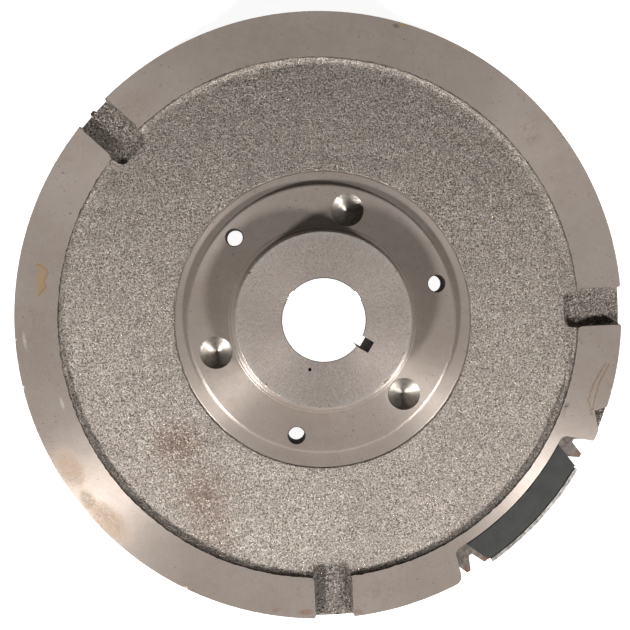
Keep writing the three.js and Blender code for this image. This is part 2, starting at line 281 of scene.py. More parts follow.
class Shader:
    """A Principled material with short calls for its nodes; coordinates are object space in millimetres."""

    def __init__(self, name, metallic, roughness, **sockets):
        self.material = bpy.data.materials.new(name)
        self.material.use_nodes = True
        self.tree = self.material.node_tree
        self.bsdf = self.tree.nodes["Principled BSDF"]
        self.bsdf.inputs["Metallic"].default_value = metallic
        self.bsdf.inputs["Roughness"].default_value = roughness
        for socket, value in sockets.items():
            self.bsdf.inputs[socket.replace("_", " ")].default_value = value
        coords = self.node("ShaderNodeTexCoord").outputs["Object"]
        self.mm = self.vector("SCALE", coords, scale=1 / MM)
        split = self.node("ShaderNodeSeparateXYZ", self.mm)
        self.x, self.y, self.z = split.outputs
        flat = self.node("ShaderNodeCombineXYZ", self.x, self.y)
        self.r = self.vector("LENGTH", flat.outputs[0])
        self.angle = self.math("ARCTAN2", self.y, self.x)

    def node(self, kind, *inputs, **settings):
        node = self.tree.nodes.new(kind)
        for key, value in settings.items():
            setattr(node, key, value)
        for socket, value in zip(node.inputs, inputs):
            self.put(socket, value)
        return node

    def put(self, socket, value):
        if isinstance(value, bpy.types.NodeSocket):
            self.tree.links.new(value, socket)
        elif value is not None:
            socket.default_value = value

    def math(self, operation, a, b=None):
        return self.node("ShaderNodeMath", a, b, operation=operation).outputs[0]

    def times(self, a, b):
        return self.math("MULTIPLY", a, b)

    def vector(self, operation, a, b=None, scale=None):
        node = self.node("ShaderNodeVectorMath", a, b, operation=operation)
        if scale is not None:
            self.put(node.inputs["Scale"], scale)
        return node.outputs["Value" if operation in ("LENGTH", "DOT_PRODUCT") else "Vector"]

    def noise(self, scale, detail=2.0, rough=0.5, vector=None):
        node = self.node("ShaderNodeTexNoise")
        self.put(node.inputs["Vector"], self.mm if vector is None else vector)
        node.inputs["Scale"].default_value = scale
        node.inputs["Detail"].default_value = detail
        node.inputs["Roughness"].default_value = rough
        return node.outputs["Fac"]

    def cells(self, scale, output="Distance"):
        node = self.node("ShaderNodeTexVoronoi")
        self.put(node.inputs["Vector"], self.mm)
        node.inputs["Scale"].default_value = scale
        return node.outputs[output]

    def ramp(self, value, low, high, to_low=0.0, to_high=1.0):
        node = self.node("ShaderNodeMapRange", value, low, high, to_low, to_high)
        node.interpolation_type = "SMOOTHSTEP"
        return node.outputs[0]

    def mix(self, factor, a, b):
        node = self.node("ShaderNodeMix", data_type="RGBA")
        for index, value in ((0, factor), (6, a), (7, b)):
            if isinstance(value, tuple) and len(value) == 3:
                value = (*value, 1.0)
            self.put(node.inputs[index], value)
        return node.outputs[2]

    def bump(self, height, distance, strength=1.0):
        node = self.node("ShaderNodeBump")
        node.inputs["Strength"].default_value = strength
        node.inputs["Distance"].default_value = distance * MM
        self.put(node.inputs["Height"], height)
        return node.outputs[0]

    def spot(self, x, y, radius, edge=0.3, wobble=0.6, scale=0.6, turn=0.0, stretch=1.0):
        """A mask, 1 inside a ragged spot on the wheel's plane, stretched along direction turn in degrees."""
        here = self.node("ShaderNodeCombineXYZ", self.x, self.y).outputs[0]
        placement = (x, y, 0.0), (0.0, 0.0, math.radians(turn)), (stretch, 1.0, 1.0)
        local = self.node("ShaderNodeMapping", here, *placement, vector_type="TEXTURE")
        distance = self.vector("LENGTH", local.outputs[0])
        ragged = self.math("MULTIPLY_ADD", self.noise(scale, 4), radius * wobble)
        node = ragged.node
        node.inputs[2].default_value = -radius * wobble / 2
        reach = self.math("ADD", distance, ragged)
        return self.ramp(reach, radius * (1 + edge), radius * (1 - edge))

    def stroke(self, points, width, wander=1.1):
        """A mask, 1 along a thin wavering line drawn through points on the wheel's plane."""
        sway = self.times(self.math("SUBTRACT", self.noise(0.9, 3), 0.5), wander)
        here = self.node("ShaderNodeCombineXYZ", self.math("ADD", self.x, sway), self.y).outputs[0]
        nearest = None
        for start, end in zip(points, points[1:]):
            step = Vector((*end, 0.0)) - Vector((*start, 0.0))
            away = self.vector("SUBTRACT", here, (*start, 0.0))
            along = self.vector("DOT_PRODUCT", away, tuple(step.normalized()))
            along = self.math("MINIMUM", self.math("MAXIMUM", along, 0.0), step.length)
            foot = self.vector("SCALE", tuple(step.normalized()), scale=along)
            distance = self.vector("LENGTH", self.vector("SUBTRACT", away, foot))
            nearest = distance if nearest is None else self.math("MINIMUM", nearest, distance)
        return self.ramp(nearest, width, width * 0.35)

    def out(self, colour, roughness=None, normal=None, metallic=None, tangent=None):
        self.put(self.bsdf.inputs["Base Color"], colour)
        optional = {"Roughness": roughness, "Normal": normal, "Metallic": metallic, "Tangent": tangent}
        for name, value in optional.items():
            if value is not None:
                self.put(self.bsdf.inputs[name], value)
        return self.material

    def swept(self, around, along_r):
        """Coordinates for streaks on a face: the angle and radius scaled, and the height."""
        angle = self.times(self.angle, around)
        r = self.times(self.r, along_r)
        return self.node("ShaderNodeCombineXYZ", angle, r, self.z).outputs[0]

    def swept_wall(self, around, along_z):
        """Coordinates for streaks on a wall round the axis: the angle and height scaled, and the radius."""
        angle = self.times(self.angle, around)
        z = self.times(self.z, along_z)
        return self.node("ShaderNodeCombineXYZ", angle, z, self.r).outputs[0]

    def turned_tangent(self):
        return self.node("ShaderNodeTangent", direction_type="RADIAL", axis="Z").outputs[0]


def rust(s, colour, amount, tint=(0.20, 0.085, 0.035)):
    """Brown patches gathered by a large noise and broken up by a fine one."""
    patches = s.ramp(s.noise(0.05, 5, 0.6), 0.55, 0.75)
    grain = s.ramp(s.noise(1.1, 4, 0.65), 0.45, 0.75)
    return s.mix(s.times(s.times(patches, grain), amount), colour, tint)


def make_as_cast(name, relief, grain_and_shade_scale, glints):
    """Sand-cast skin. Relief is in mm; the third argument scales the dark grains' colour, and below 1 it
    darkens them as painted shade; glints scales a lighter colour on bright cells, a painted glint.
    """
    s = Shader(name, metallic=0.8, roughness=0.42)
    grains = s.noise(1.7, 3.0, 0.62)
    lumps = s.noise(0.42, 2.0, 0.5)
    stain = s.noise(0.035, 3.0, 0.55)
    shade = tuple(c * grain_and_shade_scale for c in (0.088, 0.073, 0.061))
    colour = s.mix(s.ramp(grains, 0.38, 0.58), shade, (0.350, 0.303, 0.260))
    colour = s.mix(s.ramp(stain, 0.3, 0.75, 0.0, 0.3), colour, (0.180, 0.158, 0.136))
    colour = rust(s, colour, 0.3)
    for x, y, radius, amount in WEB_RUST:
        colour = s.mix(s.times(s.spot(x, y, radius, 0.9), amount), colour, (0.130, 0.078, 0.054))
    # A lighter colour on random cells paints glints: partly the iron's bright grains, partly painted
    # highlight.
    facet = s.node("ShaderNodeSeparateColor", s.cells(2.1, output="Color")).outputs[0]
    glint = s.ramp(facet, 0.74, 0.92)
    colour = s.mix(s.times(glint, glints), colour, (0.56, 0.51, 0.455))
    # Painted shade: a near-black line darkens the rim's inner top edge.
    high = s.ramp(s.z, RIM_Z - 0.9, RIM_Z - 0.35)
    painted_edge_shade = s.times(high, s.ramp(s.r, RIM_INNER_R - 1.6, RIM_INNER_R - 1.0))
    colour = s.mix(s.times(painted_edge_shade, 0.75), colour, (0.030, 0.024, 0.019))
    cone = s.cells(2.1)
    height = s.math("ADD", s.times(grains, 0.9), s.times(lumps, 0.6))
    height = s.math("SUBTRACT", height, s.times(cone, 0.5))
    normal = s.bump(height, relief, 1.0)
    base = s.ramp(s.noise(1.6, 3), 0.3, 0.7, 0.33, 0.50)
    roughness = s.math("SUBTRACT", base, s.times(glint, 0.08))
    return s.out(colour, roughness, normal)


def make_turned_face():
    s = Shader("turned_face", metallic=0.45, roughness=0.37, Anisotropic=0.85, Anisotropic_Rotation=0.25)
    patches = s.noise(0.03, 4, 0.6)
    mottle = s.noise(0.30, 5, 0.65)
    grain = s.noise(2.2, 3, 0.6)
    colour = s.mix(s.ramp(patches, 0.3, 0.7), (0.350, 0.286, 0.240), (0.410, 0.346, 0.302))
    colour = s.mix(s.ramp(mottle, 0.40, 0.75, 0.0, 0.30), colour, (0.26, 0.212, 0.180))
    colour = s.mix(s.ramp(grain, 0.35, 0.70, 0.0, 0.30), colour, (0.50, 0.445, 0.41))
    colour = s.mix(s.ramp(s.r, BAND_R + 2, BAND_R + 6, 0.14, 0.0), colour, (0.19, 0.155, 0.13))
    colour = rust(s, colour, 0.55, (0.26, 0.12, 0.055))
    specks = s.ramp(s.cells(0.28), 0.10, 0.05)
    colour = s.mix(s.times(specks, 0.7), colour, (0.13, 0.10, 0.08))
    flecks = s.times(s.ramp(s.cells(0.30), 0.20, 0.08), s.ramp(s.noise(1.6, 3, 0.7), 0.46, 0.58))
    red = s.times(flecks, s.ramp(s.noise(0.028, 2), 0.50, 0.62))
    colour = s.mix(s.times(red, 0.75), colour, (0.21, 0.080, 0.050))
    matt = None
    broken = s.ramp(s.noise(1.2, 4, 0.7), 0.36, 0.56, 0.35, 1.0)
    for x, y, radius, turn, stretch, tint, amount, dull in RIM_STAINS:
        mask = s.times(s.spot(x, y, radius, 0.6, 1.2, 0.3, turn, stretch), broken)
        colour = s.mix(s.times(mask, amount), colour, tint)
        if dull:
            matt = mask if matt is None else s.math("MAXIMUM", matt, mask)
    for points, width, tint, amount in RIM_STREAKS:
        mask = s.times(s.stroke(points, width), broken)
        colour = s.mix(s.times(mask, amount), colour, tint)
    waves = s.math("SINE", s.times(s.r, TAU / 0.8))
    grooves = s.times(waves, s.ramp(s.noise(0.2, 3), 0.3, 0.7, 0.2, 1.0))
    pits = s.times(s.noise(1.6, 4, 0.7), 1.4)
    normal = s.bump(s.math("ADD", s.times(grooves, 0.12), pits), 0.035, 1.0)
    roughness = s.math("ADD", s.ramp(mottle, 0.25, 0.75, 0.33, 0.44), s.times(matt, 0.3))
    metallic = s.math("SUBTRACT", 0.45, s.times(matt, 0.42))
    return s.out(colour, roughness, normal, metallic, s.turned_tangent())


def make_boss_face():
    s = Shader("ground_boss", metallic=0.75, roughness=0.36, Anisotropic=0.45, Anisotropic_Rotation=0.25)
    grain = s.noise(1.9, 4, 0.65)
    cloud = s.noise(0.11, 3, 0.5)
    colour = s.mix(s.ramp(grain, 0.33, 0.66), (0.42, 0.348, 0.300), (0.78, 0.67, 0.60))
    colour = s.mix(s.ramp(cloud, 0.35, 0.65, 0.0, 0.4), colour, (0.56, 0.47, 0.42))
    # Lighter radial streaks: painted sheen, with some real grinding streaks.
    streaks = s.noise(1.0, 4, 0.65, vector=s.swept(42.0, 0.16))
    colour = s.mix(s.ramp(streaks, 0.45, 0.75, 0.0, 0.45), colour, (0.86, 0.78, 0.71))
    lap = s.math("SINE", s.math("ADD", s.times(s.r, TAU / 0.55), s.times(cloud, 9.0)))
    worn = s.ramp(s.r, BOSS_R - 2.6, BOSS_R - 0.3)
    bright = s.times(worn, s.ramp(s.noise(0.9, 4, 0.7), 0.42, 0.6))
    colour = s.mix(bright, colour, (0.66, 0.62, 0.57))
    brown = s.times(s.ramp(s.noise(0.35, 4, 0.7), 0.60, 0.70), worn)
    colour = s.mix(s.times(brown, 0.8), colour, (0.25, 0.085, 0.055))
    height = s.math("ADD", s.times(lap, 0.10), grain)
    normal = s.bump(height, 0.07, 0.9)
    return s.out(colour, s.ramp(grain, 0.3, 0.7, 0.42, 0.30), normal, tangent=s.turned_tangent())


def make_turned_side():
    s = Shader("turned_side", metallic=0.95, roughness=0.38, Anisotropic=0.5, Anisotropic_Rotation=0.25)
    lines = s.noise(1.2, 4, 0.6, vector=s.swept_wall(2.0, 1.5))
    colour = s.mix(lines, (0.30, 0.26, 0.22), (0.44, 0.40, 0.36))
    colour = rust(s, colour, 0.6)
    waves = s.math("SINE", s.times(s.z, TAU / 0.6))
    height = s.math("ADD", s.times(waves, 0.2), s.times(s.noise(1.3, 4), 0.8))
    return s.out(colour, s.ramp(lines, 0.2, 0.8, 0.3, 0.48), s.bump(height, 0.03), tangent=s.turned_tangent())


def make_painted_hole_shade():
    # Near-black hole walls are painted shade inside the holes and keyway, with some grime.
    s = Shader("painted_hole_shade", metallic=0.0, roughness=0.9, Specular_IOR_Level=0.15)
    grime = s.noise(0.9, 5, 0.65)
    colour = s.mix(s.ramp(grime, 0.35, 0.7), (0.018, 0.013, 0.010), (0.060, 0.045, 0.034))
    return s.out(colour, s.ramp(grime, 0.3, 0.7, 0.8, 0.95), s.bump(grime, 0.06))


def make_painted_bright_bore():
    # The near-white colour is painted light so the wall reads as bright as the see-through bore; the bore is
    # also smooth and shiny.
    s = Shader("painted_bright_bore", metallic=1.0, roughness=0.12)
    lines = s.noise(1.3, 4, 0.6, vector=s.swept_wall(3.0, 1.2))
    colour = s.mix(s.ramp(lines, 0.3, 0.7), (0.90, 0.89, 0.875), (0.97, 0.965, 0.955))
    return s.out(colour, s.ramp(lines, 0.3, 0.7, 0.08, 0.16), s.bump(lines, 0.005))


def make_drilled():
    s = Shader("drilled_cone", metallic=0.8, roughness=0.42)
    grime = s.noise(0.6, 4, 0.6)
    colour = s.mix(s.ramp(grime, 0.35, 0.7), (0.30, 0.27, 0.235), (0.18, 0.155, 0.13))
    return s.out(colour, s.ramp(grime, 0.3, 0.7, 0.38, 0.50), s.bump(s.noise(2.0, 4), 0.02))


def make_milled_pocket():
    s = Shader("milled_pocket", metallic=0.75, roughness=0.5)
    lines = s.noise(1.2, 4, 0.65, vector=s.swept(90.0, 0.25))
    # The dark tones are mostly painted shade in the deep bay; the brown mixed over them is rust.
    colour = s.mix(s.ramp(lines, 0.3, 0.7), (0.060, 0.048, 0.040), (0.185, 0.160, 0.138))
    colour = rust(s, colour, 0.7, (0.14, 0.07, 0.042))
    return s.out(colour, s.ramp(lines, 0.3, 0.7, 0.42, 0.62), s.bump(lines, 0.08))


def make_gear_steel():
    s = Shader("gear_steel", metallic=0.85, roughness=0.45)
    wear = s.noise(0.5, 5, 0.65)
    lines = s.noise(1.5, 4, 0.65, vector=s.swept(70.0, 0.3))
    # Both tones are dark as painted shade: the gear's face lies well below the rim.
    colour = s.mix(s.ramp(wear, 0.3, 0.7), (0.105, 0.088, 0.074), (0.225, 0.198, 0.175))
    colour = s.mix(s.ramp(lines, 0.4, 0.7, 0.0, 0.5), colour, (0.11, 0.09, 0.075))
    tips = s.ramp(s.r, gear_high.x - 4.0, gear_high.x - 0.5)
    rusty = s.times(tips, s.ramp(s.noise(0.7, 4), 0.35, 0.6, 0.2, 0.9))
    colour = s.mix(rusty, colour, (0.20, 0.085, 0.050))
    normal = s.bump(s.math("ADD", s.noise(1.8, 5, 0.7), lines), 0.05)
    return s.out(colour, s.ramp(wear, 0.3, 0.7, 0.36, 0.58), normal)


def make_ferrite(name, tint):
    s = Shader(name, metallic=0.0, roughness=0.62, Specular_IOR_Level=0.35)
    cloud = s.noise(0.16, 4, 0.6)
    grain = s.noise(2.2, 4, 0.7)
    lighter = tuple(c * 1.45 for c in tint)
    colour = s.mix(s.ramp(cloud, 0.3, 0.7), tint, lighter)
    colour = s.mix(s.ramp(grain, 0.4, 0.8, 0.0, 0.25), colour, tuple(c * 0.6 for c in tint))
    dust = s.ramp(s.cells(0.9), 0.12, 0.04)
    colour = s.mix(s.times(dust, 0.35), colour, (0.22, 0.21, 0.19))
    return s.out(colour, s.ramp(grain, 0.3, 0.7, 0.52, 0.72), s.bump(grain, 0.06, 0.7))


def make_sheet_steel(name):
    s = Shader(name, metallic=0.95, roughness=0.33)
    streaks = s.noise(0.7, 4, 0.6)
    cloud = s.noise(0.06, 3)
    colour = s.mix(s.ramp(streaks, 0.3, 0.7), (0.45, 0.42, 0.385), (0.60, 0.575, 0.54))
    colour = s.mix(s.ramp(cloud, 0.45, 0.75, 0.0, 0.4), colour, (0.36, 0.30, 0.25))
    return s.out(colour, s.ramp(streaks, 0.3, 0.7, 0.27, 0.42), s.bump(s.noise(2.0, 4, 0.65), 0.03))


def make_zinc():
    s = Shader("zinc_screw", metallic=0.95, roughness=0.38)
    spangle = s.cells(1.3, output="Color")
    tone = s.node("ShaderNodeSeparateColor", spangle).outputs[0]
    colour = s.mix(s.ramp(tone, 0.0, 1.0), (0.42, 0.42, 0.41), (0.58, 0.58, 0.565))
    colour = rust(s, colour, 0.5)
    return s.out(colour, s.ramp(s.noise(1.5, 4), 0.3, 0.7, 0.3, 0.5), s.bump(s.noise(3.0, 3), 0.02))


TAN, OCHRE, STREAK = (0.40, 0.275, 0.175), (0.47, 0.31, 0.12), (0.27, 0.15, 0.06)
SCUFF, BROWN, RED = (0.75, 0.72, 0.68), (0.16, 0.09, 0.055), (0.30, 0.10, 0.06)
RIM_STAINS = [  # x, y, radius, direction, stretch, tint, strength, whether it dulls the metal
    (-99.0, -58.5, 4.4, 120, 1.7, TAN, 0.75, True),
    (-92.0, -71.5, 2.6, 125, 1.8, TAN, 0.6, True),
    (-84.0, -79.5, 4.6, 135, 2.0, TAN, 0.75, True),
    (-109.5, 15.6, 1.5, 86, 3.6, OCHRE, 0.8, False),
    (-101.9, -33.0, 0.6, 105, 3.6, SCUFF, 0.6, False),
    (-116.0, -8.5, 0.5, 100, 6.0, SCUFF, 0.6, False),
    (31.0, 114.8, 0.7, 170, 2.6, OCHRE, 0.7, False),
    (28.5, 114.6, 0.8, 170, 1.6, BROWN, 0.7, False),
    (-6.5, -117.2, 1.0, 4, 2.8, RED, 0.6, False),
    (-18.0, -116.0, 0.8, 8, 2.4, RED, 0.4, False),
    (14.2, -117.3, 0.9, -6, 2.2, RED, 0.5, False),
    (-73.0, 82.0, 6.0, 42, 1.6, BROWN, 0.22, False),
]
RIM_STREAKS = [  # points along the line, half width, tint, strength
    ([(113.7, -17.7), (109.0, -25.5), (106.8, -32.4), (108.4, -38.5)], 0.42, STREAK, 0.9),
    ([(115.0, -18.2), (111.2, -25.5), (109.3, -32.6), (108.6, -36.5)], 0.38, STREAK, 0.85),
    ([(-110.8, 21.4), (-107.6, 19.6), (-106.9, 17.8), (-108.3, 15.0), (-107.9, 12.4), (-110.4, 9.3)], 0.45,
     (0.40, 0.20, 0.07), 0.8),
]
WEB_RUST = [(-58, -50, 8, 0.65), (-47, -70, 9, 0.55), (-45, -86, 8, 0.4)]  # x, y, radius, strength
AS_CAST, FACE, BOSS, SIDE, HOLE, DRILLED, POCKET, NOTCH, BORE = range(9)
casting_materials = [
    make_as_cast("web_cast", 0.42, 1.0, 0.6),
    make_turned_face(),
    make_boss_face(),
    make_turned_side(),
    make_painted_hole_shade(),
    make_drilled(),
    make_milled_pocket(),
    # The notches get darker grains as painted shade in the recess, and stronger painted glints.
    make_as_cast("notch_cast", 1.2, 0.35, 1.0),
    make_painted_bright_bore(),
]
gear_steel = make_gear_steel()
magnet_ferrite = make_ferrite("magnet_ferrite", (0.022, 0.023, 0.0205))
rotor_ferrite = make_ferrite("rotor_ferrite", (0.045, 0.045, 0.044))
shoe_steel = make_sheet_steel("shoe_steel")
retainer_steel = make_sheet_steel("retainer_steel")
zinc = make_zinc()

# ---- casting ------------------------------------------------------------------------------


def bore_r(z):
    return BORE_R + (BOSS_Z - z) * TAPER


ABOVE = BOSS_Z + 4
BELOW = -4


def casting_body():
    corners = [
        (bore_r(HUB_REAR_Z) + 0.7, HUB_REAR_Z, 0, FACE, 0),
        (HUB_CORE_R, HUB_REAR_Z, 0.9, AS_CAST, 0),
        (HUB_CORE_R, FLANGE_BACK_Z, 2.8, AS_CAST, 0),
        (DISC_R - 1, FLANGE_BACK_Z, 2.5, AS_CAST, 0),
        (DISC_R + 4, WEB_BACK_Z, 2.5, AS_CAST, 0),
        (ROTOR_BORE_R, WEB_BACK_Z, 0, SIDE, 0),
        (ROTOR_BORE_R, RETAINER_SEAT_Z, 0, FACE, 0),
        (RETAINER_BORE_R, RETAINER_SEAT_Z, 0, SIDE, 0),
        (RETAINER_BORE_R, 0, 0.4, FACE, 0),
        (GEAR_SEAT_R, 0, 0.8, SIDE, 0),
        (GEAR_SEAT_R, SHOULDER_Z, 0, FACE, 0),
        (RIM_R, SHOULDER_Z, 0.3, SIDE, 0),
        (RIM_R, RIM_Z, 0.28, FACE, 0.05),
        (RIM_INNER_R, RIM_Z, 0, AS_CAST, 0.30),
        (RIM_INNER_R - 0.15, RIM_Z - 0.5, 0, AS_CAST, 0.22),
        (RIM_INNER_R - 1.0, WEB_Z, 2.7, AS_CAST, 0),
        (BAND_R + 0.4, WEB_Z, 0.2, AS_CAST, 0.4),
        (BAND_R + 0.05, BAND_Z - 0.05, 0, FACE, 0.3),
        (BAND_R - 0.55, BAND_Z + 0.2, 0.2, FACE, 0.12),
        (DISC_R + 0.9, BAND_Z + 0.2, 0.35, FACE, 0),
        (DISC_R + 0.3, DISC_Z - 0.25, 0.15, FACE, 0),
        (DISC_R - 0.3, DISC_Z, 0.12, FACE, 0),
        (BOSS_ROOT_R + 0.45, DISC_Z, 0.1, FACE, 0),
        (BOSS_ROOT_R + 0.15, DISC_Z + 0.3, 0.1, FACE, 0),
        (BOSS_ROOT_R - 1.2, DISC_Z + 0.3, 1.1, FACE, 0),
        (BOSS_R + 0.45, BOSS_Z - 0.7, 0.1, FACE, 0.05),
        (BOSS_R - 0.1, BOSS_Z, 0.15, BOSS, 0.10),
        (BORE_R, BOSS_Z, 0.4, BORE, 0),
        (bore_r(HUB_REAR_Z), HUB_REAR_Z + 0.7, 0, BORE, 0),
    ]
    points, zones = rounded_profile(corners, 5)
    points, zones = refined(points, zones, {AS_CAST: 0.9 if FULL else 2.5})
    return revolved("casting_fine", points, zones, casting_materials, SEGMENTS)


def place(points, deg):
    c, s = math.cos(math.radians(deg)), math.sin(math.radians(deg))
    return [(x * c - y * s, x * s + y * c, z) for x, y, z in points]


def slot_ring(half, inner, outer, corner, z, lobe=1.0):
    """A U outline, anticlockwise from above, open outward along +X where it rounds over the rim's corners."""
    corner_steps, lobe_steps = 7, 5
    mouth = RIM_R - 0.2 - lobe
    ring = [(outer, -half - lobe, z), (outer, half + lobe, z)]
    for a in np.radians(np.linspace(90, 0, lobe_steps)):
        ring.append((mouth + lobe * math.sin(a), half + lobe * (1 - math.cos(a)), z))
    for a in np.radians(np.linspace(90, 180, corner_steps)):
        ring.append((inner + corner + corner * math.cos(a), half - corner + corner * math.sin(a), z))
    for a in np.radians(np.linspace(180, 270, corner_steps)):
        ring.append((inner + corner + corner * math.cos(a), corner - half + corner * math.sin(a), z))
    for a in np.radians(np.linspace(0, 90, lobe_steps)):
        ring.append((mouth + lobe * math.sin(a), -half - lobe * (1 - math.cos(a)), z))
    return ring


def notch_cutter(index, deg):
    """As-cast notch: rounded at its floor, with drafted walls."""
    sections = []
    fillet, draft = 2.3, math.tan(math.radians(4))
    for a in np.linspace(0, 90, 8):
        inset = fillet * (1 - math.sin(math.radians(a)))
        z = NOTCH_Z + fillet * (1 - math.cos(math.radians(a)))
        sections.append((inset, z))
    sections.append((-draft * (ABOVE - NOTCH_Z), ABOVE))
    rings = []
    for inset, z in sections:
        half = NOTCH_W / 2 - inset
        rings.append(place(slot_ring(half, NOTCH_INNER_R - 0.6 + inset, RIM_R + 4, 3.4 - inset, z), deg))
    return loft(f"notch_cutter_{index}", rings, casting_materials, NOTCH)


def arc(r, from_deg, to_deg, steps):
    return [polar(r, from_deg + (to_deg - from_deg) * i / steps) for i in range(steps + 1)]


def pocket_cutter():
    """The magnet's bay: end walls that flare outward, filleted inner corners and rounded rim corners."""
    inner_fillet, lower_lobe, upper_lobe = 3.2, 3.0, 1.0

    def end_wall(deg, side, lobe):
        """From beyond the rim in to the bay's inner arc; side is +1 if the bay lies anticlockwise of it."""

        def wall_point(r, into_bay):
            flare = POCKET_FLARE * max(0.0, r - POCKET_R - inner_fillet)
            return polar(r, deg + side * (math.degrees(into_bay / r) - flare))

        wall = [wall_point(RIM_R + 4, -lobe)]
        for a in np.linspace(90, 0, 7):
            r = RIM_R + 0.02 - lobe * (1 - math.sin(math.radians(a)))
            wall.append(wall_point(r, -lobe * (1 - math.cos(math.radians(a)))))
        for a in np.linspace(0, 90, 7):
            r = POCKET_R + inner_fillet * (1 - math.sin(math.radians(a)))
            wall.append(wall_point(r, inner_fillet * (1 - math.cos(math.radians(a)))))
        return wall

    lower = end_wall(POCKET_FROM, 1, lower_lobe)
    upper = end_wall(POCKET_TO, -1, upper_lobe)
    lead = math.degrees(inner_fillet / POCKET_R)
    outline = arc(RIM_R + 8, POCKET_FROM - 4, POCKET_TO + 4, 24) + upper
    outline += arc(POCKET_R, POCKET_TO - lead, POCKET_FROM + lead, 48)[1:-1] + lower[::-1]
    rings = [[(x, y, z) for x, y in outline] for z in (POCKET_Z, ABOVE)]
    return loft("pocket_cutter", rings, casting_materials, POCKET)


def keyway_cutter():
    """The keyway; its floor leans outward toward the rear."""
    half, lean, inner = KEYWAY_W / 2, 1.4, 2.0
    rings = []
    for z, floor_r in ((BELOW, KEYWAY_R + lean), (ABOVE, KEYWAY_R)):
        ring = [(inner, -half, z), (floor_r, -half, z), (floor_r, half, z), (inner, half, z)]
        rings.append(place(ring, KEYWAY_DEG))
    return loft("keyway_cutter", rings, casting_materials, HOLE)


def fan_hole_cutter(index, deg):
    r = FAN_HOLE_R
    stations = [(r, BELOW), (r, DISC_Z - 0.3), (r + 0.4, DISC_Z + 0.05), (r + 0.4, ABOVE)]
    centre = polar(FAN_HOLE_CIRCLE, deg)
    return spindle(f"fan_hole_cutter_{index}", stations, centre, casting_materials, HOLE, 48)


def spot_cutter(index, deg):
    """A drill point with the faint rings the lips of the drill leave in it."""
    cone = SPOT_R / math.tan(math.radians(SPOT_POINT_DEG / 2))
    base = DISC_Z - SPOT_LIP
    stations = []
    rings = 14
    for k in range(rings + 1):
        t = k / rings
        ripple = 0.03 * (-1) ** k if 0 < k < rings else 0.0
        stations.append((0.15 + (SPOT_R - 0.15) * t, base - cone * (1 - t) + ripple))
    stations += [(SPOT_R, DISC_Z - 0.3), (SPOT_R + 0.45, DISC_Z + 0.05), (SPOT_R + 0.45, ABOVE)]
    return spindle(f"spot_cutter_{index}", stations, polar(SPOT_CIRCLE, deg), casting_materials, DRILLED, 96)


def rim_chip_cutter():
    """The corner broken off the rim near the magnet's bay."""
    top = [(115.2, 341.3), (120.3, 337.5), (124.0, 337.3), (124.0, 344.4)]
    bottom = [(117.0, 341.9), (119.3, 338.6), (124.0, 338.5), (124.0, 344.0)]
    rings = [[(*polar(r, deg), RIM_Z - 1.5) for r, deg in bottom]]
    rings.append([(*polar(r, deg), RIM_Z + 0.3) for r, deg in top])
    return loft("rim_chip_cutter", rings, casting_materials, NOTCH)


def edge_nicks():
    """Knocks in the boss's edge and rim's edges, and one pit in the boss face."""
    cutters = []
    for deg, r, z, radius, depth in NICKS:
        stations = [(radius * 0.2, z - depth), (radius * 0.7, z - depth * 0.7)]
        stations += [(radius, z), (radius * 1.1, z + 2)]
        cutters.append(spindle("nick_cutter", stations, polar(r, deg), casting_materials, FACE, 10))
    pit = [(0.25, BOSS_Z - 0.9), (0.55, BOSS_Z - 0.5), (0.7, BOSS_Z + 0.1), (0.7, ABOVE)]
    cutters.append(spindle("pit_cutter", pit, polar(19.7, 254), casting_materials, HOLE, 14))
    return cutters


def radial_spindle(name, stations, deg, z, materials, slot=0, segments=32):
    """A round solid lying along a radius; stations are (its radius, the distance from the wheel's axis)."""
    obj = spindle(name, stations, (0.0, 0.0), materials, slot, segments)
    turn = Matrix.Rotation(math.radians(deg), 4, "Z") @ Matrix.Rotation(math.radians(90), 4, "Y")
    obj.data.transform(Matrix.Translation((0, 0, z * MM)) @ turn)
    return obj


def as_cast_relief(obj):
    """Lumpy sand-cast skin on vertices whose faces are all as cast, roughest in the notches. It also shifts
    the rim's inner wall and the edge of the skin round the disc off the turned axis."""
    mesh = obj.data
    count = len(mesh.vertices)
    co = np.empty(count * 3)
    mesh.vertices.foreach_get("co", co)
    co = co.reshape(-1, 3)
    normals = np.empty(count * 3)
    mesh.vertices.foreach_get("normal", normals)
    normals = normals.reshape(-1, 3)
    free = np.ones(count, bool)
    rough = np.zeros(count, bool)
    for polygon in mesh.polygons:
        corners = list(polygon.vertices)
        if polygon.material_index not in (AS_CAST, NOTCH):
            free[corners] = False
        if polygon.material_index == NOTCH:
            rough[corners] = True
    for v in np.nonzero(free)[0]:
        p = Vector(co[v]) / MM
        lift = 0.16 * noise.fractal(p * 0.16, 1.0, 2.0, 2) + 0.07 * noise.noise(p * 0.75 + Vector((31, 7, 3)))
        if rough[v]:
            lift += 0.16 * noise.noise(p * 0.5 + Vector((5, 17, 23))) + 0.20 * noise.noise(p * 1.15)
        co[v] += normals[v] * lift * MM
    r = np.hypot(co[:, 0], co[:, 1]) / MM
    front = (co[:, 2] / MM > WEB_Z - 3) & (r > 90) & (r < RIM_INNER_R + 0.8)
    weight = smoothstep(92.0, 97.5, r) * front
    skin = (co[:, 2] / MM > BAND_Z - 1) & (r < 80)
    near_band = smoothstep(56.0, 58.2, r) * (1 - smoothstep(61.0, 78.0, r)) * skin
    for axis in range(2):
        co[:, axis] += (CORE_SHIFT[axis] * weight + BAND_SHIFT[axis] * near_band) * MM
    mesh.vertices.foreach_set("co", co.ravel())
    mesh.update()


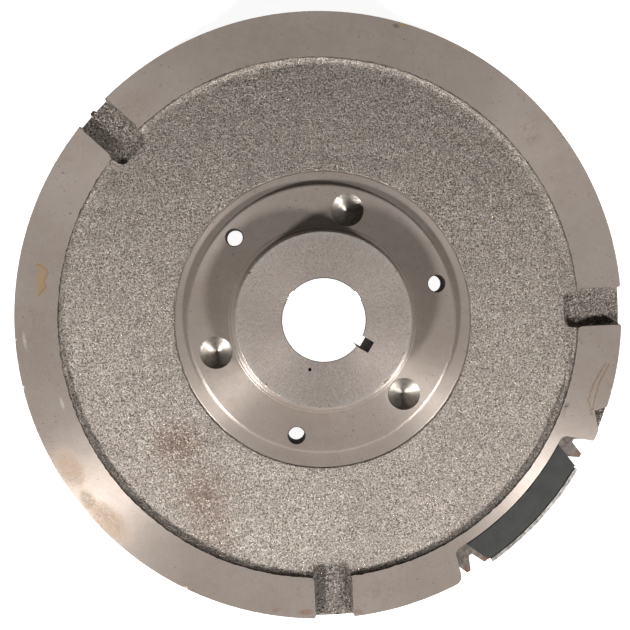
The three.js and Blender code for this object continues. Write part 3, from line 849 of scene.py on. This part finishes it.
def densify(obj, slot, longest_mm, rounds=4):
    """Triangulates the large faces that the cutters left and splits their edges, so the skin can be lumpy."""
    bm = bmesh.new()
    bm.from_mesh(obj.data)

    def is_big(face):
        return len(face.verts) > 4 or max(e.calc_length() for e in face.edges) > 2.2 * longest_mm * MM

    big = [f for f in bm.faces if f.material_index == slot and is_big(f)]
    made = bmesh.ops.triangulate(bm, faces=big)["faces"]
    for _ in range(rounds):
        edges = {e for f in made if f.is_valid for e in f.edges if e.calc_length() > longest_mm * MM}
        if not edges:
            break
        result = bmesh.ops.subdivide_edges(bm, edges=list(edges), cuts=1, use_grid_fill=True)
        made = {f for f in made if f.is_valid}
        made |= {g for g in result["geom"] if isinstance(g, bmesh.types.BMFace)}
        ngons = [f for f in made if len(f.verts) > 3]
        made = {f for f in made if len(f.verts) == 3} | set(bmesh.ops.triangulate(bm, faces=ngons)["faces"])
    bm.to_mesh(obj.data)
    bm.free()


def make_casting():
    body = casting_body()
    cutters = [notch_cutter(i, deg) for i, deg in enumerate(NOTCH_DEGS)]
    cutters.append(pocket_cutter())
    cutters += [fan_hole_cutter(i, deg) for i, deg in enumerate(FAN_HOLE_DEGS)]
    cutters += [spot_cutter(i, deg) for i, deg in enumerate(SPOT_DEGS)]
    cutters.append(keyway_cutter())
    cutters.append(rim_chip_cutter())
    cutters += edge_nicks()
    for i, deg in enumerate(RETAINER_SCREW_DEGS):
        centre = polar(RETAINER_SCREW_CIRCLE, deg)
        stations = [(RETAINER_HOLE_R, BELOW), (RETAINER_HOLE_R, RETAINER_HOLE_TOP_Z)]
        cutters.append(spindle(f"screw_hole_cutter_{i}", stations, centre, casting_materials, SIDE, 24))
    for i, deg in enumerate(SHOE_SCREW_DEGS):
        stations = [(SHOE_HOLE_R, 98.7), (SHOE_HOLE_R, 115)]
        name = f"shoe_hole_cutter_{i}"
        cutters.append(radial_spindle(name, stations, deg, SHOE_SCREW_Z, casting_materials, SIDE))
    for cutter in cutters:
        cut(body, cutter)
    densify(body, AS_CAST, 1.1 if FULL else 2.6)
    densify(body, NOTCH, 0.6 if FULL else 1.2, 5)
    as_cast_relief(body)
    return publish(body, "cast_iron", "flywheel_casting")


# ---- starter ring gear --------------------------------------------------------------------


def make_ring_gear():
    tip, root = MODULE * (TEETH + 2) / 2, MODULE * (TEETH - 2.5) / 2
    bore = GEAR_SEAT_R + 0.3
    # half angle of the tooth at each radius from root to tip, as a gently bowed flank
    flank = [(root, 1.86), (root + 0.35, 1.60), (root + 1.3, 1.38), (root + 2.8, 1.08), (root + 4.3, 0.78)]
    flank += [(tip - 0.7, 0.56), (tip - 0.2, 0.45), (tip, 0.34)]

    def outline(inset):
        ring = []
        for tooth in range(TEETH):
            middle = GEAR_PHASE + tooth * 360 / TEETH
            sides = [(r, half, -1) for r, half in flank] + [(r, half, 1) for r, half in reversed(flank)]
            for r, half, side in sides:
                drawn_in = r - inset * (r - root) / (tip - root)
                ring.append(polar(drawn_in, middle + side * max(0.05, half - inset * 0.22)))
        return ring

    low, high = gear_low.z, gear_high.z
    # how far the outline is drawn in at each height
    levels = [(0.9, low), (0.25, low + 0.9), (0.0, low + 1.3), (0.0, high - 0.4), (0.3, high)]
    count = TEETH * len(flank) * 2
    shift = math.radians(GEAR_PHASE) - math.radians(2)
    bore_angles = [shift + TAU * (i + 0.5) / count for i in range(count)]
    rings = [[(bore * math.cos(a), bore * math.sin(a), z) for a in bore_angles] for z in (high, low)]
    rings += [[(x, y, z) for x, y in outline(inset)] for inset, z in levels]
    vertices = [p for ring in rings for p in ring]
    gear = mesh_object("ring_gear_fine", vertices, ring_quads(len(rings), count, True), [gear_steel])
    return publish(gear, "gear_steel", "starter_ring_gear")


# ---- magnets ------------------------------------------------------------------------------


def arc_block(name, inner, inner_half, outer, outer_half, middle, low, high, chip, step, material, seed):
    """A curved magnet block with small broken edges; chip is the usual edge break in mm."""
    outline = []
    steps = max(4, round(math.radians(2 * outer_half) * outer / step))
    outline += [Vector(p) for p in arc(outer, middle - outer_half, middle + outer_half, steps)]
    side_steps = max(3, round((outer - inner) / step))
    start, end = outline[-1], Vector(polar(inner, middle + inner_half))
    outline += [start.lerp(end, t / side_steps) for t in range(1, side_steps)]
    outline += [Vector(p) for p in arc(inner, middle + inner_half, middle - inner_half, steps)]
    start, end = outline[-1], outline[0]
    outline += [start.lerp(end, t / side_steps) for t in range(1, side_steps)]
    count = len(outline)
    inward = []
    for i, p in enumerate(outline):
        along = (outline[(i + 1) % count] - outline[i - 1]).normalized()
        inward.append(Vector((-along.y, along.x)))

    def edge_break(i, side):
        p = outline[i]
        rough = noise.fractal(Vector((p.x * 0.55, p.y * 0.55, seed + 9.1 * side)), 1.0, 2.0, 3)
        flake = max(0.0, noise.noise(Vector((p.x * 0.21, p.y * 0.21, seed * 3 + 5 * side))) - 0.28) * 5
        return chip * (0.75 + 0.5 * rough + flake)

    def ring(side, portion):
        z_edge = low if side == 0 else high
        sign = 1 if side == 0 else -1
        points = []
        for i, p in enumerate(outline):
            size = max(0.04, edge_break(i, side))
            q = p + inward[i] * size * portion
            points.append((q.x, q.y, z_edge + sign * size * (1 - portion)))
        return points

    sections = [ring(0, 1.0), ring(0, 0.35), ring(0, 0.0)]
    for t in (0.33, 0.66):
        sections.append([(p.x, p.y, low + (high - low) * t) for p in outline])
    sections += [ring(1, 0.0), ring(1, 0.35), ring(1, 1.0)]
    return loft(name, sections, [material])


def make_ignition_magnet():
    half_inner, half_outer, outer = 14.7, 12.6, 118.0
    block = arc_block("ignition_magnet_fine", POCKET_R + 0.55, half_inner, outer, half_outer, MAGNET_DEG,
                      magnet_low.z, magnet_high.z, 0.22, 0.5, magnet_ferrite, 4.0)
    for i, deg in enumerate(SHOE_SCREW_DEGS):
        stations = [(SHOE_HOLE_R, 100.0), (SHOE_HOLE_R, 124.0)]
        cut(block, radial_spindle(f"magnet_hole_{i}", stations, deg, SHOE_SCREW_Z, [magnet_ferrite]))
    return publish(block, "ferrite", "ignition_magnet")


def make_pole_shoe():
    outer = SHOE_R
    plate = arc_block("pole_shoe_fine", outer - 1.6, 12.2, outer, 12.2, MAGNET_DEG,
                      shoe_low.z, shoe_high.z, 0.14, 0.6, shoe_steel, 8.0)
    for i, deg in enumerate(SHOE_SCREW_DEGS):
        stations = [(SHOE_HOLE_R, 110.0), (SHOE_HOLE_R, outer - 1.4), (3.6, outer), (3.6, outer + 4)]
        name = f"shoe_sink_{i}"
        cut(plate, radial_spindle(name, stations, deg, SHOE_SCREW_Z, [shoe_steel], segments=48))
    return publish(plate, "pole_steel", "magnet_pole_shoe")


def make_rotor_magnets():
    inner, outer, half = 86.0, ROTOR_BORE_R - 0.3, 13.5
    for i in range(ROTOR_MAGNETS):
        name = f"rotor_magnet_{i + 1:02d}"
        block = arc_block(f"{name}_fine", inner, half, outer, half, i * 360 / ROTOR_MAGNETS,
                          rotor_low.z, rotor_high.z, 0.2, 0.9, rotor_ferrite, 20.0 + i)
        publish(block, "rotor_ferrite", name)


# ---- screws and retainer ------------------------------------------------------------------


def make_shoe_screws():
    head, tip = 119.8, 99.5
    width, depth, reach = 0.45, 0.75, 4.2  # the driver slot's half width, depth and half length
    stations = [(1.3, tip), (1.85, tip + 0.8), (1.85, head - 1.45)]
    stations += [(3.2, head - 0.12), (3.25, head - 0.04), (3.1, head)]
    for i, deg in enumerate(SHOE_SCREW_DEGS):
        name = f"pole_shoe_screw_{i + 1}_fine"
        screw = radial_spindle(name, stations, deg, SHOE_SCREW_Z, [zinc], segments=48)
        ring = [(head - depth, -reach), (head + 1, -reach), (head + 1, reach), (head - depth, reach)]
        heights = (SHOE_SCREW_Z - width, SHOE_SCREW_Z + width)
        sections = [place([(x, y, z) for x, y in ring], deg) for z in heights]
        cut(screw, loft(f"slot_cutter_{i}", sections, [zinc]))
        publish(screw, "screw_zinc", f"pole_shoe_screw_{i + 1}")


def cross_cutter(name, centre, deg, top_z, arm, half, depth):
    """A cross recess entering from below: two tapered blades at right angles."""
    blades = []
    for k in range(2):
        outline_low = [(-arm, -half), (arm, -half), (arm, half), (-arm, half)]
        outline_high = [(x * 0.55, y * 0.7) for x, y in outline_low]
        sections = []
        for outline, z in ((outline_low, top_z - 1.0), (outline_low, top_z), (outline_high, top_z + depth)):
            turned = place([(x, y, z) for x, y in outline], deg + 90 * k)
            sections.append([(x + centre[0], y + centre[1], zz) for x, y, zz in turned])
        blades.append(loft(f"{name}_{k}", sections, [zinc]))
    return blades


def make_retainer_screws():
    low, high = retainer_screw_low.z, retainer_screw_high.z
    under = low + 2.0
    head_r, shank_r = 3.65, 1.95
    dome_angles = [math.radians(a) for a in (20, 35, 50, 65, 78, 90)]
    stations = [(head_r * math.sin(a), under - 0.6 - 1.4 * math.cos(a)) for a in dome_angles]
    stations += [(head_r, under - 0.1), (3.5, under), (shank_r, under), (shank_r, high - 0.8), (1.35, high)]
    for i, deg in enumerate(RETAINER_SCREW_DEGS):
        centre = polar(RETAINER_SCREW_CIRCLE, deg)
        screw = spindle(f"retainer_screw_{i + 1}_fine", stations, centre, [zinc], segments=48)
        for blade in cross_cutter(f"cross_{i}", centre, deg + 20 * i, low, 1.9, 0.42, 1.3):
            cut(screw, blade)
        publish(screw, "screw_zinc", f"retainer_screw_{i + 1}")


def make_retainer():
    low, high = retainer_low.z, retainer_high.z
    inner, outer = 85.0, RETAINER_BORE_R - 0.3
    corners = [
        (inner, low, 0.5, 0, 0),
        (outer, low, 0.35, 0, 0),
        (outer, high, 0.2, 0, 0),
        (inner, high, 0.2, 0, 0),
    ]
    points, zones = rounded_profile(corners, 3)
    plate = revolved("magnet_retainer_fine", points, zones, [retainer_steel], SEGMENTS // 2)
    for i, deg in enumerate(RETAINER_SCREW_DEGS):
        centre = polar(RETAINER_SCREW_CIRCLE, deg)
        stations = [(RETAINER_HOLE_R, BELOW), (RETAINER_HOLE_R, 9)]
        cut(plate, spindle(f"retainer_hole_{i}", stations, centre, [retainer_steel], 0, 32))
    return publish(plate, "retainer_steel", "magnet_retainer_ring")


# ---- stage: floor, lights, camera ---------------------------------------------------------


FLOOR_Z = -0.2  # just clear of the wheel's rear face, which rests at zero


def make_pale_material():
    material = bpy.data.materials.new("pale_floor")
    material.use_nodes = True
    bsdf = material.node_tree.nodes["Principled BSDF"]
    bsdf.inputs["Base Color"].default_value = (0.6, 0.6, 0.6, 1)
    bsdf.inputs["Roughness"].default_value = 0.9
    bsdf.inputs["Emission Color"].default_value = (1, 1, 1, 1)
    bsdf.inputs["Emission Strength"].default_value = 0.9
    return material


def make_floor(material):
    half = 3000.0
    corners = [(-half, -half), (half, -half), (half, half), (-half, half)]
    floor = mesh_object("floor", [(x, y, FLOOR_Z) for x, y in corners], [(0, 1, 2, 3)], [material])


def make_backdrop(material):
    """A round wall that shows behind low views and leaves the light on the wheel as it is."""
    sides, radius, top = 64, 2900.0, 2500.0
    wall, faces = [], []
    for i in range(sides):
        x, y = polar(radius, i * 360 / sides)
        wall += [(x, y, FLOOR_Z), (x, y, top)]
        k = (i + 1) % sides
        faces.append((2 * i, 2 * i + 1, 2 * k + 1, 2 * k))
    backdrop = mesh_object("backdrop", wall, faces, [material])
    backdrop.visible_diffuse = False
    backdrop.visible_glossy = False
    backdrop.visible_shadow = False


def area_light(name, azimuth, elevation, distance, size, power):
    """A soft round lamp aimed at the wheel; angles in degrees, lengths in metres, power in watts."""
    light = bpy.data.lights.new(name, "AREA")
    light.shape = "DISK"
    light.size = size
    light.energy = power
    obj = bpy.data.objects.new(name, light)
    a, e = math.radians(azimuth), math.radians(elevation)
    target = Vector((0, 0, RIM_Z * MM))
    direction = Vector((math.cos(e) * math.cos(a), math.cos(e) * math.sin(a), math.sin(e)))
    obj.location = target + direction * distance
    obj.rotation_euler = (-direction).to_track_quat("-Z", "Y").to_euler()
    bpy.context.scene.collection.objects.link(obj)


WORLD_LOW, WORLD_TOP = 0.035, 0.16


def make_lights():
    area_light("lamp_left", 222, 29, 1.0, 0.15, 13.6)
    area_light("lamp_right", 323, 31, 1.0, 0.15, 11.0)
    world = bpy.data.worlds.new("studio")
    bpy.context.scene.world = world
    world.use_nodes = True
    tree = world.node_tree
    background = tree.nodes["Background"]
    background.inputs["Color"].default_value = (1.0, 0.99, 0.975, 1)
    coords = tree.nodes.new("ShaderNodeTexCoord")
    lean = tree.nodes.new("ShaderNodeVectorMath")
    lean.operation = "DOT_PRODUCT"
    lean.inputs[1].default_value = Vector((0.0, 0.26, 0.97)).normalized()
    tree.links.new(coords.outputs["Generated"], lean.inputs[0])
    ceiling = tree.nodes.new("ShaderNodeMapRange")
    ceiling.interpolation_type = "SMOOTHSTEP"
    for socket, value in zip(ceiling.inputs[1:], (0.62, 1.0, WORLD_LOW, WORLD_TOP)):
        socket.default_value = value
    tree.links.new(lean.outputs["Value"], ceiling.inputs[0])
    tree.links.new(ceiling.outputs[0], background.inputs["Strength"])


def make_camera():
    """A near view straight down on the fan side, leaning a few degrees."""
    camera = bpy.data.cameras.new("camera")
    camera.lens = 44.0
    camera.sensor_width = 36.0
    camera.clip_start = 0.01
    obj = bpy.data.objects.new("camera", camera)
    tilt_x, tilt_y = math.radians(2.06), math.radians(2.373)
    offset = Vector((3.09, -1.636, -303.7))
    turn = Matrix.Rotation(tilt_y, 3, "Y") @ Matrix.Rotation(tilt_x, 3, "X")
    back = turn.transposed()
    place_mm = -(back @ offset) + Vector((0, 0, RIM_Z))
    obj.matrix_world = Matrix.Translation(place_mm * MM) @ back.to_4x4()
    bpy.context.scene.collection.objects.link(obj)
    bpy.context.scene.camera = obj


make_camera()
make_lights()
pale = make_pale_material()
make_floor(pale)
make_backdrop(pale)
make_casting()
make_ring_gear()
make_ignition_magnet()
make_pole_shoe()
make_shoe_screws()
make_rotor_magnets()
make_retainer()
make_retainer_screws()

bpy.context.scene.view_settings.view_transform = "Standard"
